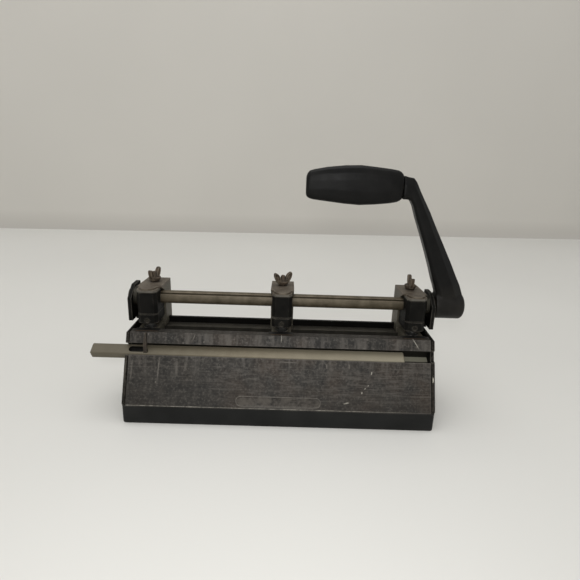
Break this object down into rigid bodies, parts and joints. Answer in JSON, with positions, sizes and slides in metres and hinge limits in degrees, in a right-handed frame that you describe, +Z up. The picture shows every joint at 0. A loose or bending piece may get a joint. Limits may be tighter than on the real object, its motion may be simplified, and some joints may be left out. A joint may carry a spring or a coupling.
{
  "type": "lever paper punch",
  "caption": "Desk paper punch with a trapezoid base, sliding punch heads on a keyed shaft, a side hand lever, a paper gauge bar and a drop-out chip tray.",
  "frame": {"origin": "centre of the chip tray's underside", "axes": "+X to the punch's right, towards the lever; -Y to the front, where the paper goes in; +Z up"},
  "size_m": [0.3008, 0.084, 0.2015],
  "materials": {
    "painted_black": "worn black paint",
    "worn_paint": "black paint worn and scratched to grey-brown",
    "tray_black": "smooth black paint",
    "head_steel": "darkened bare casting",
    "shaft_steel": "browned drawn bar",
    "gauge_steel": "dull bar with a brown patina",
    "rusted_steel": "rust-brown",
    "tool_steel": "ground",
    "lever_black": "semi-gloss black enamel",
    "bronze": "dull bearing bronze",
    "screw_steel": "dark oxide"
  },
  "bodies": {
    "base": {"front_apron": "worn_paint", "rear_panel": "painted_black", "side_frame_left": "painted_black", "side_frame_right": "painted_black", "bed_plate": "painted_black", "rail": "head_steel", "bearing_bracket_left": "painted_black", "shaft_bush_left": "bronze", "apron_screw_left": "screw_steel", "rear_screw_left": "screw_steel", "bed_screw_left": "screw_steel", "bracket_screw_left": "screw_steel", "rail_screw_left": "screw_steel", "bearing_bracket_right": "painted_black", "shaft_bush_right": "bronze", "apron_screw_right": "screw_steel", "rear_screw_right": "screw_steel", "bed_screw_right": "screw_steel", "bracket_screw_right": "screw_steel", "rail_screw_right": "screw_steel"},
    "tray": {"chip_tray": "tray_black"},
    "gauge": {"gauge_bar": "gauge_steel", "paper_stop": "rusted_steel"},
    "lever": {"shaft": "shaft_steel", "shaft_collar": "screw_steel", "lever_arm": "lever_black", "lever_grip": "lever_black", "lever_set_screw": "screw_steel"},
    "head_left": {"head_frame_left": "head_steel", "punch_housing_left": "painted_black", "guide_block_left": "painted_black", "guide_set_screw_left": "screw_steel", "housing_screw_left": "screw_steel", "guide_screw_left": "screw_steel", "die_left": "tool_steel"},
    "cutter_left": {"punch_left": "tool_steel"},
    "gear_left": {"pinion_left": "tool_steel"},
    "clamp_left": {"wing_screw_left": "rusted_steel"},
    "head_center": {"head_frame_center": "head_steel", "punch_housing_center": "painted_black", "guide_block_center": "painted_black", "guide_set_screw_center": "screw_steel", "housing_screw_center": "screw_steel", "guide_screw_center": "screw_steel", "die_center": "tool_steel"},
    "cutter_center": {"punch_center": "tool_steel"},
    "gear_center": {"pinion_center": "tool_steel"},
    "clamp_center": {"wing_screw_center": "rusted_steel"},
    "head_right": {"head_frame_right": "head_steel", "punch_housing_right": "painted_black", "guide_block_right": "painted_black", "guide_set_screw_right": "screw_steel", "housing_screw_right": "screw_steel", "guide_screw_right": "screw_steel", "die_right": "tool_steel"},
    "cutter_right": {"punch_right": "tool_steel"},
    "gear_right": {"pinion_right": "tool_steel"},
    "clamp_right": {"wing_screw_right": "rusted_steel"}
  },
  "joints": [
    {"name": "tray_drop", "type": "slide", "parent": "base", "child": "tray", "axis": [0, 0, 1], "range_m": [-0.03, 0]},
    {"name": "gauge_slide", "type": "slide", "parent": "base", "child": "gauge", "axis": [1, 0, 0], "range_m": [-0.06, 0.02]},
    {"name": "lever_turn", "type": "hinge", "parent": "base", "child": "lever", "pos_m": [0, 0.0045, 0.091], "axis": [1, 0, 0], "range_deg": [0, 55]},
    {"name": "head_left_slide", "type": "slide", "parent": "base", "child": "head_left", "axis": [1, 0, 0], "range_m": [0, 0.03]},
    {"name": "head_center_slide", "type": "slide", "parent": "base", "child": "head_center", "axis": [1, 0, 0], "range_m": [-0.03, 0.03]},
    {"name": "head_right_slide", "type": "slide", "parent": "base", "child": "head_right", "axis": [1, 0, 0], "range_m": [-0.03, 0]},
    {"name": "gear_left_turn", "type": "hinge", "parent": "head_left", "child": "gear_left", "pos_m": [-0.108, 0.0045, 0.091], "axis": [1, 0, 0], "range_deg": [0, 55]},
    {"name": "punch_left_stroke", "type": "slide", "parent": "head_left", "child": "cutter_left", "axis": [0, 0, 1], "range_m": [-0.0072, 0]},
    {"name": "clamp_left_turn", "type": "hinge", "parent": "head_left", "child": "clamp_left", "pos_m": [-0.108, 0.014, 0.1005], "axis": [0, 0, 1], "range_deg": [0, 90]},
    {"name": "gear_center_turn", "type": "hinge", "parent": "head_center", "child": "gear_center", "pos_m": [0, 0.0045, 0.091], "axis": [1, 0, 0], "range_deg": [0, 55]},
    {"name": "punch_center_stroke", "type": "slide", "parent": "head_center", "child": "cutter_center", "axis": [0, 0, 1], "range_m": [-0.0072, 0]},
    {"name": "clamp_center_turn", "type": "hinge", "parent": "head_center", "child": "clamp_center", "pos_m": [0, 0.014, 0.1005], "axis": [0, 0, 1], "range_deg": [0, 90]},
    {"name": "gear_right_turn", "type": "hinge", "parent": "head_right", "child": "gear_right", "pos_m": [0.108, 0.0045, 0.091], "axis": [1, 0, 0], "range_deg": [0, 55]},
    {"name": "punch_right_stroke", "type": "slide", "parent": "head_right", "child": "cutter_right", "axis": [0, 0, 1], "range_m": [-0.0072, 0]},
    {"name": "clamp_right_turn", "type": "hinge", "parent": "head_right", "child": "clamp_right", "pos_m": [0.108, 0.014, 0.1005], "axis": [0, 0, 1], "range_deg": [0, 90]}
  ],
  "couplings": [
    {"joint": "gear_left_turn", "follows": "lever_turn", "ratio": 1},
    {"joint": "punch_left_stroke", "follows": "lever_turn", "m_per_rad": -0.0075},
    {"joint": "gear_center_turn", "follows": "lever_turn", "ratio": 1},
    {"joint": "punch_center_stroke", "follows": "lever_turn", "m_per_rad": -0.0075},
    {"joint": "gear_right_turn", "follows": "lever_turn", "ratio": 1},
    {"joint": "punch_right_stroke", "follows": "lever_turn", "m_per_rad": -0.0075}
  ]
}
